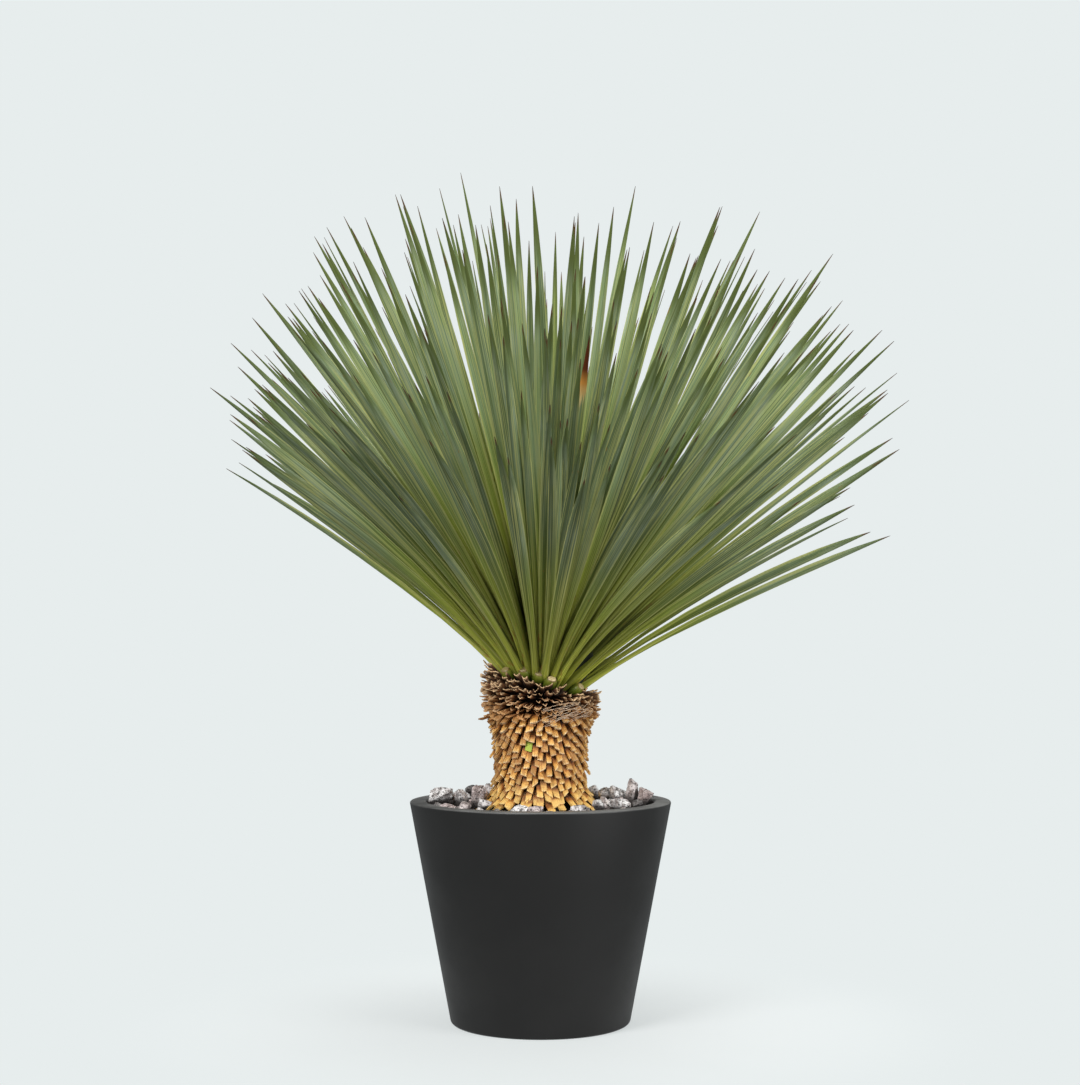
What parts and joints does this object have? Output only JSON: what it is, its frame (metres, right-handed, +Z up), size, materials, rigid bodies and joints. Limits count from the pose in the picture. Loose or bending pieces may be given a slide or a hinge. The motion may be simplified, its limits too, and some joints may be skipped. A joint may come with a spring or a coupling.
{
  "type": "potted beaked yucca",
  "caption": "Beaked yucca with a round crown of stiff sword-shaped leaves on a short stem, in a tapered black planter dressed with grey lava stones.",
  "frame": {"origin": "centre of the planter's underside, on the surface that it stands on", "axes": "+Z up along the planter's axis and the stem, -Y towards the side that the picture shows, +X to the right of it"},
  "size_m": [0.9628, 0.9588, 1.1595],
  "materials": {
    "planter_black": "satin",
    "soil_brown": "matte",
    "lava_grey": "matte",
    "leaf_base_tan": "matte",
    "dry_brown": "matte",
    "leaf_green": "satin"
  },
  "bodies": {
    "root": {"planter": "planter_black", "soil": "soil_brown", "lava_stones": "lava_grey", "stem": "leaf_base_tan", "frill": "dry_brown", "leaf_crown": "leaf_green"}
  },
  "joints": []
}
